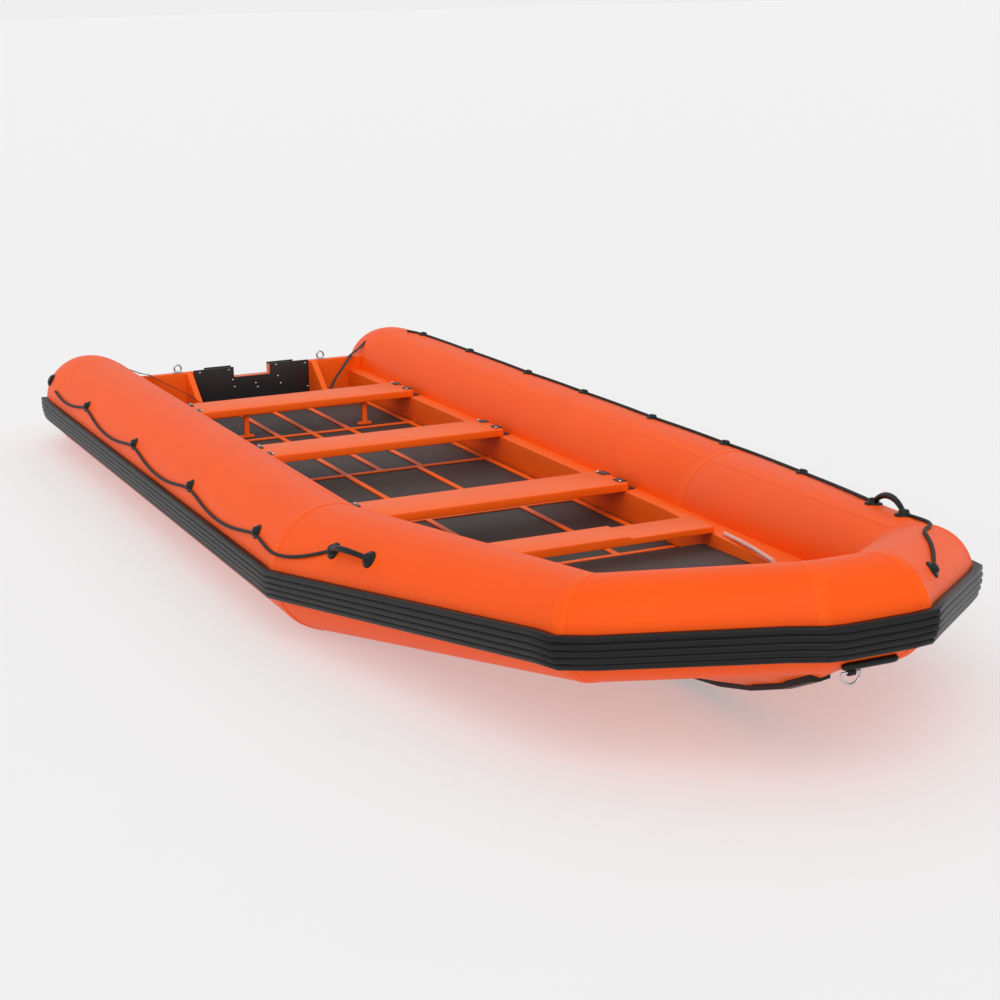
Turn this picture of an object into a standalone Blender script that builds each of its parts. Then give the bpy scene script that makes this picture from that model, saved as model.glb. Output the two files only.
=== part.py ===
"""Rigid inflatable boat: an orange inflated collar in mitred lengths round a shallow-V rigid hull,
with four bolted thwarts, a panelled floor, an outboard transom, rub strakes and grab lines.

+X is the bow, +Y is port and +Z is up. Z = 0 is the ground that the tube bottoms stand on.
"""

import math

import bmesh
import bpy
from mathutils import Vector

# Driving dimensions, in metres. Stations are measured forward from the transom.
TUBE_RADIUS = 0.225
BOW_RADIUS = 0.156  # the bow lengths taper to this
HALF_SPREAD = 0.818  # centre plane to the axis of a side tube
SHOULDER_AT = (3.415, HALF_SPREAD)  # first bend of the collar's axis: station, distance off the centre plane
CHEEK_AT = (4.93, 0.575)  # second bend
NOSE_AT = (5.37, 0.106)  # third bend, at either end of the blunt nose
CHEEK_LIFT = 0.164  # how far the axis sheers up at the second bend and at the nose
NOSE_LIFT = 0.247
CONE_START = 0.04
CONE_LENGTH = 0.42  # the tapered end of a side tube, aft of the transom
CONE_POWER = 2.6
CONE_BLUNT = 0.985  # the part of the cone's length at which its blunt tip is cut
STERN_TIP = CONE_START - CONE_LENGTH * CONE_BLUNT
FIT = 0.0003  # the glue line or seat left between two solids
TUBE_SIDES = 48

STRAKE_TOP = math.radians(6.4)
STRAKE_FOOT = math.radians(-17.6)
STRAKE_DEPTH = 0.030
STRAKE_GROOVE = 0.012
STRAKE_BEDDING = 0.004
STRAKE_RIBS = 5
RIB_CREST = ((0.02, 0), (0.2, 1), (0.8, 1), (0.98, 0))  # across a rib: part of its width, groove or crest
STRAKE_AFT = -0.12

KEEL_CLEARANCE = 0.012
FOREFOOT_STATIONS = (3.8, 4.2, 4.5, 4.75, CHEEK_AT[0], 5.1, 5.25, 5.36)
FOREFOOT_RISE = 0.29
FOREFOOT_POWER = 3.3
CHINE_HEIGHT = 0.13
CHINE_EDGE = 0.004  # the least height of the hull's edge
DECK_UNDERSIDE = 0.1327
KEEL_GUARD_HALF = 0.035
KEEL_GUARD_THICK = 0.011
KEEL_GUARD_EDGE = 0.006
KEEL_GUARD_BEDDING = 0.03

RAIL_INSET = 0.288  # tube axis to the rail's inner face
RAIL_WIDTH = 0.16
RAIL_TOP = 0.258
RAIL_FOOT = 0.1335
FLOOR_THICK = 0.008
FLOOR_TOP = DECK_UNDERSIDE + FIT + FLOOR_THICK
FLOOR_END = 3.79
DECK_SIDE_GAP = 0.001
FRAME_THICK = 0.006
FRAME_BAR = 0.024
FRAME_STATIONS = (0.34, 0.93, 1.83, 2.70, 3.53)
FRAME_EDGE = 0.014  # the floor left bare outboard of the edge bars
# The lengthwise bars between those stations.
FRAME_LINES = ((-0.165, 0.0, 0.19), (-0.165, 0.0, 0.19), (-0.165, 0.17), (-0.15, 0.265))

BOW_DECK_AFT = 3.81
BOW_DECK_TIP_GAP = 0.02
BOW_DECK_HEIGHT = (0.230, 0.360)
BOW_PANEL_THICK = 0.008

TRANSOM_THICK = 0.040
TRANSOM_TOP = 0.326
TRANSOM_TUCK = 0.1  # the board's edge inboard of the tube's axis
NOTCH_HALF = 0.097
NOTCH_SILL = 0.281
PLATE_HALF = 0.31
OUTER_PLATE_HALF = 0.24
PLATE_THICK = 0.008
PLATE_TOP = 0.335
PLATE_FOOT = 0.155
KNEE_AT = 0.335
KNEE_THICK = 0.030
KNEE_TOP = 0.322
KNEE_HEAD = 0.03
KNEE_REACH = 0.28
EYE_AT = 0.385
EYE_RADIUS = 0.018
EYE_BAR = 0.0045
EYE_BASE = (0.030, 0.044, 0.005)

THWART_STATIONS = (0.771, 1.817, 2.978)
THWART_WIDTH = 0.242
THWART_HALF_LENGTH = 0.545
THWART_THICK = 0.035
BOW_THWART_AT = 3.81
BOW_THWART_WIDTH = 0.17
BOW_THWART_DEPTH = 0.032
BOW_THWART_STEP = 0.008
BOW_THWART_LAP = 0.010
BOW_THWART_SINK = 0.0014  # the rail's twisted top face lies this far under its edge line there
BOW_STEP_AT = 0.12
CLIP_THICK = 0.004
CLIP_FOOT = 0.042
CLIP_LAP = 0.030
CLIP_SPREAD = 0.095
CLIP_WIDTH = 0.050
POST_STATION = 0.846
POST_AT = 0.30
POST_WIDTH = 0.024
POST_HALF = (0.035, 0.011)  # half width of the foot and of the post
POST_FOOT = 0.012

ROPE_RADIUS = 0.006
HOLDER_RADIUS = 0.027
HOLDER_HEIGHT = 0.020
BOSS_SHAPE = ((1.0, 0.35), (0.85, 0.75), (0.45, 1.0))  # parts of a boss's radius and height
BOSS_BEDDING = 0.004
STARBOARD_HANDLE = ((3.76, 3.97), 36)  # stations of its feet, degrees above the tube's outer side
PORT_HANDLE = ((4.59, 4.80), 84)
HANDLE_HEIGHT = 0.045
HANDLE_RADIUS = 0.010
HANDLE_STEPS = 10
HANDLE_FOOT = (0.030, 0.016)  # radius and height of the boss under each end
# Each line as (station, degrees above the tube's outer side), and its sag in degrees between them.
STARBOARD_LINE = (
    (0.086, 22),
    (0.68, 30),
    (1.546, 27),
    (2.394, 26),
    (3.211, 28),
    (STARBOARD_HANDLE[0][0], STARBOARD_HANDLE[1]),
)
STARBOARD_SAGS = (8, 13, 13, 13, 12)
PORT_LINE = (
    (0.148, 88),
    (0.274, 78),
    (0.855, 76),
    (1.546, 79),
    (2.09, 76),
    (2.724, 78),
    (3.29, 76),
    (3.965, 75),
    (PORT_HANDLE[0][0], PORT_HANDLE[1]),
)
PORT_SAGS = (2, 3, 3, 3, 3, 3, 3, 2)
BOW_LINE = ((PORT_HANDLE[0][1], PORT_HANDLE[1]), (5.056, 78), (5.262, 38))
BOW_SAGS = (3, 3)
ROPE_STEPS = 8
VALVE_AT = (-0.10, 30)
VALVE_SIZE = (0.032, 0.014)  # radius and height

TOW_ANGLE = -44
TOW_BAR_HALF = 0.092
TOW_BAR_RADIUS = 0.012
TOW_BAR_SEAT = 0.6  # the part of a round bar that stands out of what it is moulded to
TOW_RING_AT = 0.062  # starboard of the centre plane
KEEPER_LENGTH = 0.026
KEEPER_RADIUS = 0.010
RING_BAR = 0.004
RING_PLAY = 0.0006
RING_RADIUS = 0.031
RING_STEPS = 12

STRAP_WIDTH = 0.024
STRAP_THICK = 0.003
STRAP_LIES = FLOOR_TOP + FIT + STRAP_THICK / 2
STRAP_ROUTE = (  # station, distance off the centre plane and height
    (-0.08, 0.700, 0.405),
    (-0.035, 0.625, 0.362),
    (-0.005, 0.575, 0.341),
    (0.030, 0.545, 0.338),
    (0.09, 0.49, 0.303),
    (0.19, 0.395, 0.250),
    (0.27, 0.33, 0.198),
    (0.295, 0.27, STRAP_LIES + 0.0057),
    (0.30, 0.235, STRAP_LIES),
    (0.303, 0.205, STRAP_LIES),
)


def out_to(station):
    """X of a station measured forward from the transom, with the origin amidships."""
    return station - (STERN_TIP + NOSE_AT[0] + BOW_RADIUS + STRAKE_DEPTH) / 2


class Run:
    """A straight length of the starboard tube, with its outward and upward directions."""

    def __init__(self, start, end):
        self.start = start
        self.along = (end - start).normalized()
        self.out = Vector((self.along.y, -self.along.x, 0)).normalized()
        self.up = self.out.cross(self.along)

    def skin(self, distance, angle, radius):
        """The point at a distance along the axis, an angle above the outer side, and a radius."""
        reach = self.out * (radius * math.cos(angle)) + self.up * (radius * math.sin(angle))
        return self.start + self.along * distance + reach

    def on_plane(self, angle, radius, point, normal):
        """The same line of the skin where it meets a mitre plane."""
        foot = self.skin(0, angle, radius)
        return foot + self.along * ((point - foot).dot(normal) / self.along.dot(normal))


def collar_point(station, off, lift=0.0):
    return Vector((out_to(station), -off, TUBE_RADIUS + lift))


TAIL = collar_point(STERN_TIP, HALF_SPREAD)
SHOULDER = collar_point(*SHOULDER_AT)
CHEEK = collar_point(*CHEEK_AT, CHEEK_LIFT)
NOSE = collar_point(*NOSE_AT, NOSE_LIFT)
SIDE = Run(TAIL, SHOULDER)
BOW = Run(SHOULDER, CHEEK)
CHEEK_RUN = Run(CHEEK, NOSE)
NOSE_RUN = Run(NOSE, collar_point(NOSE_AT[0], -NOSE_AT[1], NOSE_LIFT))
FORWARD = Vector((1, 0, 0))
ACROSS = Vector((0, 1, 0))
MIDDLE = collar_point(NOSE_AT[0], 0, NOSE_LIFT)
# Where each run ends: a point of the plane, its normal and the tube's radius there.
MITRES = (
    (SHOULDER, (SIDE.along + BOW.along).normalized(), TUBE_RADIUS),
    (CHEEK, (BOW.along + CHEEK_RUN.along).normalized(), BOW_RADIUS),
    (NOSE, (CHEEK_RUN.along + NOSE_RUN.along).normalized(), BOW_RADIUS),
)


def clear_scene():
    for obj in list(bpy.data.objects):
        bpy.data.objects.remove(obj, do_unlink=True)


def finish(name, colour, roughness, metallic=0.0):
    """A material for one finish of the boat."""
    made = bpy.data.materials.new(name)
    made.use_nodes = True
    shader = made.node_tree.nodes["Principled BSDF"]
    shader.inputs["Base Color"].default_value = (*colour, 1)
    shader.inputs["Roughness"].default_value = roughness
    shader.inputs["Metallic"].default_value = metallic
    return made


def add_object(name, mesh, look, smooth_angle=30):
    obj = bpy.data.objects.new(name, mesh)
    bpy.context.scene.collection.objects.link(obj)
    mesh.materials.append(look)
    mesh.shade_smooth()
    mesh.set_sharp_from_angle(angle=math.radians(smooth_angle))
    return obj


def add_solid(name, bm, look, mirrored=False, origin=None):
    """One closed body from a bmesh in boat coordinates, with its origin at its middle or at a given point.

    The port copy of a starboard piece is mirrored in its mesh.
    """
    if mirrored:
        for vert in bm.verts:
            vert.co.y = -vert.co.y
    bmesh.ops.recalc_face_normals(bm, faces=bm.faces)
    if origin is None:
        corners = [[pick(vert.co[axis] for vert in bm.verts) for axis in range(3)] for pick in (min, max)]
        origin = (Vector(corners[0]) + Vector(corners[1])) / 2
    bmesh.ops.translate(bm, vec=-origin, verts=bm.verts)
    mesh = bpy.data.meshes.new(name)
    bm.to_mesh(mesh)
    bm.free()
    obj = add_object(name, mesh, look)
    obj.location = origin
    return obj


def hide(obj):
    obj.hide_render = True
    obj.display_type = "WIRE"
    return obj


def combine(obj, other, operation):
    """A Boolean with a hidden helper, or with a collection of them."""
    modifier = obj.modifiers.new(operation.title(), "BOOLEAN")
    modifier.operation = operation
    if isinstance(other, bpy.types.Collection):
        modifier.operand_type = "COLLECTION"
        modifier.collection = other
    else:
        modifier.object = hide(other)
    return obj


def skin_rings(bm, rings, loop=False):
    """Faces between rings of equally many points, with a cap at each open end."""
    rows = [[bm.verts.new(point) for point in ring] for ring in rings]
    count = len(rows[0])
    joins = list(zip(rows, rows[1:]))
    if loop:
        joins.append((rows[-1], rows[0]))
    else:
        bm.faces.new(rows[0])
        bm.faces.new(rows[-1])
    for first, second in joins:
        for i in range(count):
            j = (i + 1) % count
            bm.faces.new((first[i], first[j], second[j], second[i]))


def add_box(bm, low, high):
    """A box between two corners."""
    low, high = Vector(low), Vector(high)
    ring = [(low.x, low.y), (high.x, low.y), (high.x, high.y), (low.x, high.y)]
    skin_rings(bm, [[Vector((x, y, z)) for x, y in ring] for z in (low.z, high.z)])


def add_prism(bm, outline, direction, start, end):
    """An outline of two coordinates, extruded along the axis that it leaves out."""
    order = {"X": (2, 0, 1), "Y": (0, 2, 1), "Z": (0, 1, 2)}[direction]
    rings = []
    for level in (start, end):
        rings.append([Vector([(a, b, level)[i] for i in order]) for a, b in outline])
    skin_rings(bm, rings)


def box_object(name, low, high, look):
    bm = bmesh.new()
    add_box(bm, low, high)
    return add_solid(name, bm, look)


def prism_object(name, outline, direction, start, end, look):
    bm = bmesh.new()
    add_prism(bm, outline, direction, start, end)
    return add_solid(name, bm, look)


def add_rod(bm, points, radius, sides=8):
    """A round bar or rope through a list of points, with mitred corners."""
    rings = []
    side = None
    for i, point in enumerate(points):
        back = (point - points[i - 1]).normalized() if i else None
        ahead = (points[i + 1] - point).normalized() if i + 1 < len(points) else None
        along = ((back or ahead) + (ahead or back)).normalized()
        if side is None:
            side = along.cross(Vector((0, 0, 1)))
            if side.length < 0.1:
                side = along.cross(Vector((0, 1, 0)))
        side = (side - along * side.dot(along)).normalized()
        across = along.cross(side)
        turn = [2 * math.pi * k / sides for k in range(sides)]
        rings.append([point + (side * math.cos(a) + across * math.sin(a)) * radius for a in turn])
    skin_rings(bm, rings)


def add_ring(bm, centre, normal, ring_radius, bar_radius, steps=20, sides=8):
    """A round ring of bar."""
    side = normal.orthogonal().normalized()
    across = normal.cross(side)
    rings = []
    for k in range(steps):
        turn = 2 * math.pi * k / steps
        reach = side * math.cos(turn) + across * math.sin(turn)
        ring = []
        for j in range(sides):
            bar = 2 * math.pi * j / sides
            out, over = ring_radius + bar_radius * math.cos(bar), bar_radius * math.sin(bar)
            ring.append(centre + reach * out + normal * over)
        rings.append(ring)
    skin_rings(bm, rings, loop=True)


def cone_radius(station):
    """The tube's radius at a station, where the stern cone rounds off."""
    along = max(0.0, (CONE_START - station) / CONE_LENGTH)
    return TUBE_RADIUS * math.sqrt(max(0.0, 1 - along**CONE_POWER))


def section(run, profile, point, normal):
    return [run.on_plane(angle, radius, point, normal) for angle, radius in profile]


def stern_sections(shape, stations):
    """Rings square to the side tube, each drawn in with the stern cone."""
    rings = []
    for station in stations:
        plane = Vector((out_to(station), 0, 0))
        rings.append(section(SIDE, shape(cone_radius(station)), plane, FORWARD))
    return rings


def circle(radius):
    return [(2 * math.pi * k / TUBE_SIDES, radius) for k in range(TUBE_SIDES)]


def cone_stations(count=9):
    """Stations from the cone's blunt tip to its root, closer where it rounds off fastest."""
    steps = [math.sin(math.pi / 2 * k / count) for k in range(count, 0, -1)]
    return [CONE_START - CONE_LENGTH * CONE_BLUNT * step for step in steps] + [CONE_START]


def collar_lengths(growth, overlap):
    """The lengths of the starboard tube and the nose. Each runs past its mitre planes by the overlap."""

    def shape(radius):
        return circle(radius + growth)

    def ring(run, mitre, way):
        point, normal, radius = mitre
        return section(run, shape(radius), point + normal * (way * overlap), normal)

    point, normal, radius = MITRES[2]
    far = (Vector((point.x, -point.y, point.z)), Vector((-normal.x, normal.y, -normal.z)), radius)
    return {
        "side": stern_sections(shape, cone_stations()) + [ring(SIDE, MITRES[0], 1)],
        "bow": [ring(BOW, MITRES[0], -1), ring(BOW, MITRES[1], 1)],
        "cheek": [ring(CHEEK_RUN, MITRES[1], -1), ring(CHEEK_RUN, MITRES[2], 1)],
        "nose": [ring(NOSE_RUN, MITRES[2], -1), ring(NOSE_RUN, far, 1)],
    }


def collar_objects(prefix, growth, overlap, look):
    """One solid for each length: three a side, and the nose between them."""
    made = []
    for mirrored, side in ((False, "starboard"), (True, "port")):
        for name, rings in collar_lengths(growth, overlap).items():
            if name == "nose" and mirrored:
                continue
            bm = bmesh.new()
            skin_rings(bm, rings)
            full_name = f"{prefix}_{name}" if name == "nose" else f"{prefix}_{name}_{side}"
            made.append(add_solid(full_name, bm, look, mirrored))
    return made


def build_collar(look):
    """Each length is a chamber of its own, closed by its bulkheads."""
    collar_objects("tube", 0, -FIT / 2, look)


def collar_trim(look):
    """The same lengths a little oversize, which cut back what butts against the collar."""
    trim = bpy.data.collections.new("collar trim")
    for obj in collar_objects("trim", FIT, FIT, look):
        trim.objects.link(hide(obj))
    return trim


def strake_shape(tube):
    """The ribbed outer face from top to foot, then back up the glued inner face, on a tube of a radius."""
    spread = TUBE_RADIUS / tube
    top, foot = STRAKE_TOP * spread, STRAKE_FOOT * spread
    width = (foot - top) / STRAKE_RIBS
    groove = tube + STRAKE_DEPTH - STRAKE_GROOVE
    points = []
    for rib in range(STRAKE_RIBS):
        for part, crest in RIB_CREST:
            points.append((top + width * (rib + part), groove + crest * STRAKE_GROOVE))
    steps = 4
    points += [(foot + (top - foot) * k / steps, tube - STRAKE_BEDDING) for k in range(steps + 1)]
    return points


def build_strakes(look, trim):
    """A moulded rubber fender on each side, from the stern cone to the middle of the nose."""
    for mirrored, side in ((False, "starboard"), (True, "port")):
        rings = stern_sections(strake_shape, (STRAKE_AFT, CONE_START))
        for run, (point, normal, radius) in zip((SIDE, BOW, CHEEK_RUN), MITRES):
            rings.append(section(run, strake_shape(radius), point, normal))
        rings.append(section(NOSE_RUN, strake_shape(BOW_RADIUS), MIDDLE - ACROSS * (FIT / 2), ACROSS))
        bm = bmesh.new()
        skin_rings(bm, rings)
        combine(add_solid(f"strake_{side}", bm, look, mirrored), trim, "DIFFERENCE")


def collar_plan(station):
    """Distance of the collar's axis off the centre plane, and its lift, at a station."""
    corners = [(STERN_TIP, HALF_SPREAD, 0), (*SHOULDER_AT, 0)]
    corners += [(*CHEEK_AT, CHEEK_LIFT), (*NOSE_AT, NOSE_LIFT)]
    for (x0, y0, z0), (x1, y1, z1) in zip(corners, corners[1:]):
        if station <= x1:
            part = (station - x0) / (x1 - x0)
            return y0 + (y1 - y0) * part, z0 + (z1 - z0) * part
    return NOSE_AT[1], NOSE_LIFT


def deck_lift(station):
    """The rigid deck is flat as far as the floor, then rises to meet the collar's sheer."""
    if station > CHEEK_AT[0]:
        return collar_plan(station)[1]
    return CHEEK_LIFT * max(0.0, (station - FLOOR_END) / (CHEEK_AT[0] - FLOOR_END))


def keel_height(station):
    start, end = FOREFOOT_STATIONS[0], FOREFOOT_STATIONS[-1]
    rise = max(0.0, (station - start) / (end - start))
    return KEEL_CLEARANCE + FOREFOOT_RISE * rise**FOREFOOT_POWER


def hull_section(station):
    """Keel height, chine, deck height and half width of the hull's blank at a station."""
    half = collar_plan(station)[0]
    keel, top = keel_height(station), DECK_UNDERSIDE + deck_lift(station)
    chine = min(top - CHINE_EDGE, CHINE_HEIGHT + deck_lift(station))
    return keel, chine, top, half


def hull_blank(name, stations, drop, look):
    """The hull before it is cut back to the collar, lowered by a drop."""
    bm = bmesh.new()
    rings = []
    for station in stations:
        keel, chine, top, half = hull_section(station)
        ring = [(0, keel), (half, chine), (half, top), (-half, top), (-half, chine)]
        rings.append([Vector((out_to(station), y, z - drop)) for y, z in ring])
    skin_rings(bm, rings)
    bmesh.ops.triangulate(bm, faces=bm.faces)
    return add_solid(name, bm, look)


def build_hull(look, guard_look, trim):
    """The rigid bottom: a shallow V glued into the collar, rising to a forefoot under the nose."""
    aft = TRANSOM_THICK / 2 + FIT
    stations = sorted({aft, SHOULDER_AT[0] / 2, SHOULDER_AT[0], FLOOR_END, *FOREFOOT_STATIONS})
    combine(hull_blank("hull_bottom", stations, 0, look), trim, "DIFFERENCE")

    bm = bmesh.new()
    rings = []
    half = KEEL_GUARD_HALF
    for station in FOREFOOT_STATIONS[:-1]:
        keel = keel_height(station)
        edge, bed = keel - KEEL_GUARD_EDGE, keel + KEEL_GUARD_BEDDING
        ring = [(0, keel - KEEL_GUARD_THICK), (half, edge), (half, bed), (-half, bed), (-half, edge)]
        rings.append([Vector((out_to(station), y, z)) for y, z in ring])
    skin_rings(bm, rings)
    guard = add_solid("keel_guard", bm, guard_look)
    combine(guard, hull_blank("hull_trim", stations, FIT, look), "DIFFERENCE")
    combine(guard, trim, "DIFFERENCE")


def notched(half, top, foot):
    """A plate's outline across the boat, with the outboard engine's notch in its top edge."""
    right = [(half, top), (NOTCH_HALF, top), (NOTCH_HALF, NOTCH_SILL)]
    return [(-half, foot), (half, foot)] + right + [(-y, z) for y, z in reversed(right)]


def build_transom(board_look, plate_look, steel_look, trim):
    """The engine board with a clamp plate on each face, its knees and its lifting eyes."""
    half = TRANSOM_THICK / 2
    keel, chine, _, reach = hull_section(half)
    reach -= TRANSOM_TUCK
    corner = keel + (chine - keel) / HALF_SPREAD * reach
    top = [(reach, TRANSOM_TOP), (NOTCH_HALF, TRANSOM_TOP), (NOTCH_HALF, NOTCH_SILL)]
    outline = [(-reach, corner), (0, keel), (reach, corner)] + top + [(-y, z) for y, z in reversed(top)]
    board = prism_object("transom_board", outline, "X", out_to(-half), out_to(half), board_look)
    combine(board, trim, "DIFFERENCE")
    for name, half_width, face in (
        ("inner", PLATE_HALF, half + FIT),
        ("outer", OUTER_PLATE_HALF, -half - FIT - PLATE_THICK),
    ):
        outline = notched(half_width, PLATE_TOP, PLATE_FOOT)
        start, end = out_to(face), out_to(face + PLATE_THICK)
        prism_object(f"motor_plate_{name}", outline, "X", start, end, plate_look)

    foot = FLOOR_TOP + FIT
    face = half + FIT
    outline = [(face, foot), (KNEE_REACH, foot), (face + KNEE_HEAD, KNEE_TOP), (face, KNEE_TOP)]
    outline = [(out_to(x), z) for x, z in outline]
    for sign, side in ((-1, "starboard"), (1, "port")):
        edges = sorted((sign * (KNEE_AT - KNEE_THICK / 2), sign * (KNEE_AT + KNEE_THICK / 2)))
        prism_object(f"knee_{side}", outline, "Y", edges[0], edges[1], board_look)
        build_eye(side, sign * EYE_AT, steel_look)


def build_eye(side, y, look):
    """A lifting eye: a ring welded to a small base on top of the engine board."""
    length, width, thick = EYE_BASE
    seat = TRANSOM_TOP + FIT
    bm = bmesh.new()
    half = width / 2
    add_box(bm, (out_to(-length / 2), y - half, seat), (out_to(length / 2), y + half, seat + thick))
    eye = add_solid(f"lifting_eye_{side}", bm, look)
    bm = bmesh.new()
    add_ring(bm, Vector((out_to(0), y, seat + thick + EYE_RADIUS)), FORWARD, EYE_RADIUS, EYE_BAR)
    combine(eye, add_solid(f"eye_loop_{side}", bm, look), "UNION")


def rail_shape(tube):
    """The rail's section on a tube of a radius. Its top stays as far below the tube's crown."""
    inner, outer = -RAIL_INSET, -RAIL_INSET + RAIL_WIDTH
    low, high = RAIL_FOOT - TUBE_RADIUS, RAIL_TOP - TUBE_RADIUS + tube - TUBE_RADIUS
    corners = ((inner, low), (inner, high), (outer, high), (outer, low))
    return [(math.atan2(height, reach), math.hypot(height, reach)) for reach, height in corners]


def build_rails(look, trim):
    """The box beams along the inside of the collar, which carry the thwarts."""
    aft = TRANSOM_THICK / 2 + FIT
    for mirrored, side in ((False, "starboard"), (True, "port")):
        rings = [section(SIDE, rail_shape(TUBE_RADIUS), Vector((out_to(aft), 0, 0)), FORWARD)]
        for run, (point, normal, radius) in zip((SIDE, BOW), MITRES):
            rings.append(section(run, rail_shape(radius), point, normal))
        rings.append(section(CHEEK_RUN, rail_shape(BOW_RADIUS), MIDDLE - ACROSS * (FIT / 2), ACROSS))
        bm = bmesh.new()
        skin_rings(bm, rings)
        combine(add_solid(f"rail_{side}", bm, look, mirrored), trim, "DIFFERENCE")


def inner_edge(inset, station):
    """Half width between two lines set in from the collar's axis, at a station."""
    reach = []
    for run in (SIDE, BOW, CHEEK_RUN):
        point = run.start - run.out * inset
        reach.append(-(point.y + run.along.y / run.along.x * (out_to(station) - point.x)))
    return min(reach)


def corner_station(inset, first, second):
    """Station of the corner between two such lines."""
    a, b = first.start + first.out * -inset, second.start + second.out * -inset
    slope_a, slope_b = first.along.y / first.along.x, second.along.y / second.along.x
    x = (b.y - a.y + slope_a * a.x - slope_b * b.x) / (slope_a - slope_b)
    return x - out_to(0)


def deck_outline(aft, ahead, inset):
    """A deck's outline between the rails, from one station to another."""
    bends = [corner_station(inset, SIDE, BOW), corner_station(inset, BOW, CHEEK_RUN)]
    stations = [aft] + [bend for bend in bends if aft < bend < ahead] + [ahead]
    half = [(out_to(station), inner_edge(inset, station)) for station in stations]
    return half + [(x, -y) for x, y in reversed(half)]


def build_floor(panel_look, frame_look):
    """The dark floor panels, and the welded flat bars that hold their edges down."""
    inset = RAIL_INSET + DECK_SIDE_GAP
    aft = TRANSOM_THICK / 2 + 2 * FIT
    outline = deck_outline(aft, FLOOR_END, inset)
    prism_object("floor_panels", outline, "Z", FLOOR_TOP - FLOOR_THICK, FLOOR_TOP, panel_look)

    low, high = FLOOR_TOP + FIT, FLOOR_TOP + FIT + FRAME_THICK
    edge = HALF_SPREAD - inset
    half_bar = FRAME_BAR / 2

    def along(start, end, y):
        return (start, y - half_bar), (end, y + half_bar)

    def across(station):
        side = min(edge, inner_edge(inset, station + half_bar))
        return (station - half_bar, -side), (station + half_bar, side)

    bars = [across(station) for station in FRAME_STATIONS]
    for start, end, lines in zip(FRAME_STATIONS, FRAME_STATIONS[1:], FRAME_LINES):
        bars += [along(start, end, y) for y in lines]
        ahead = min(end, corner_station(inset, SIDE, BOW))
        bars += [along(start, ahead, sign * (edge - FRAME_EDGE - half_bar)) for sign in (-1, 1)]
    frame = None
    for k, ((x0, y0), (x1, y1)) in enumerate(bars):
        bm = bmesh.new()
        add_box(bm, (out_to(x0), y0, low), (out_to(x1), y1, high))
        bar = add_solid("floor_frame" if frame is None else f"frame_bar_{k}", bm, frame_look)
        frame = combine(frame, bar, "UNION") if frame else bar


def build_bow_deck(block_look, panel_look):
    """The raised bow deck: a locker box between the rails, with a dark panel on top."""
    inset = RAIL_INSET + DECK_SIDE_GAP
    ahead = inner_tip(inset) - BOW_DECK_TIP_GAP
    outline = deck_outline(BOW_DECK_AFT, ahead, inset)
    for name, look, low, high in (
        ("bow_locker", block_look, None, -BOW_PANEL_THICK - FIT),
        ("bow_panel", panel_look, -BOW_PANEL_THICK, 0.0),
    ):
        rings = []
        for bottom in (True, False):
            ring = []
            for x, y in outline:
                station = x - out_to(0)
                part = (station - BOW_DECK_AFT) / (ahead - BOW_DECK_AFT)
                deck = BOW_DECK_HEIGHT[0] + (BOW_DECK_HEIGHT[1] - BOW_DECK_HEIGHT[0]) * part
                if bottom and low is None:
                    ring.append(Vector((x, y, locker_foot(station))))
                else:
                    ring.append(Vector((x, y, deck + (low if bottom else high))))
            rings.append(ring)
        bm = bmesh.new()
        skin_rings(bm, rings)
        add_solid(name, bm, look)


def locker_foot(station):
    """The locker stands on the hull's deck, ahead of the floor panels."""
    return DECK_UNDERSIDE + deck_lift(station) + 2 * FIT


def inner_tip(inset):
    """Station where two such lines cross the centre plane."""
    point = CHEEK_RUN.start - CHEEK_RUN.out * inset
    return point.x - CHEEK_RUN.along.x / CHEEK_RUN.along.y * point.y - out_to(0)


def rail_top(station):
    """Height of the rail's inner top edge between its first two bends."""
    ends = []
    for point, normal, tube in MITRES[:2]:
        angle, reach = rail_shape(tube)[1]
        ends.append(BOW.on_plane(angle, reach, point, normal))
    part = (out_to(station) - ends[0].x) / (ends[1].x - ends[0].x)
    return ends[0].lerp(ends[1], part).z


def build_thwarts(look, clip_look):
    """Three planks across the rails, each held by a pair of clips on a foot plate at either end."""
    seat = RAIL_TOP + FIT
    for number, station in enumerate(THWART_STATIONS, 1):
        low = (out_to(station - THWART_WIDTH / 2), -THWART_HALF_LENGTH, seat)
        high = (out_to(station + THWART_WIDTH / 2), THWART_HALF_LENGTH, seat + THWART_THICK)
        box_object(f"thwart_{number}", low, high, look)
        for sign, side in ((-1, "starboard"), (1, "port")):
            add_clips(f"thwart_clips_{number}_{side}", station, sign, seat + THWART_THICK, clip_look)
    half = BOW_THWART_WIDTH / 2
    aft, ahead = BOW_THWART_AT - half, BOW_THWART_AT + half
    edge = inner_edge(RAIL_INSET - BOW_THWART_LAP, ahead)
    foot = rail_top(ahead) - BOW_THWART_SINK + FIT
    top = foot + BOW_THWART_DEPTH
    step = top - BOW_THWART_STEP
    outline = [(-edge, foot), (edge, foot), (edge, step), (BOW_STEP_AT, step)]
    outline += [(BOW_STEP_AT, top), (-edge, top)]
    prism_object("thwart_bow", outline, "X", out_to(aft), out_to(ahead), look)


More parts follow.
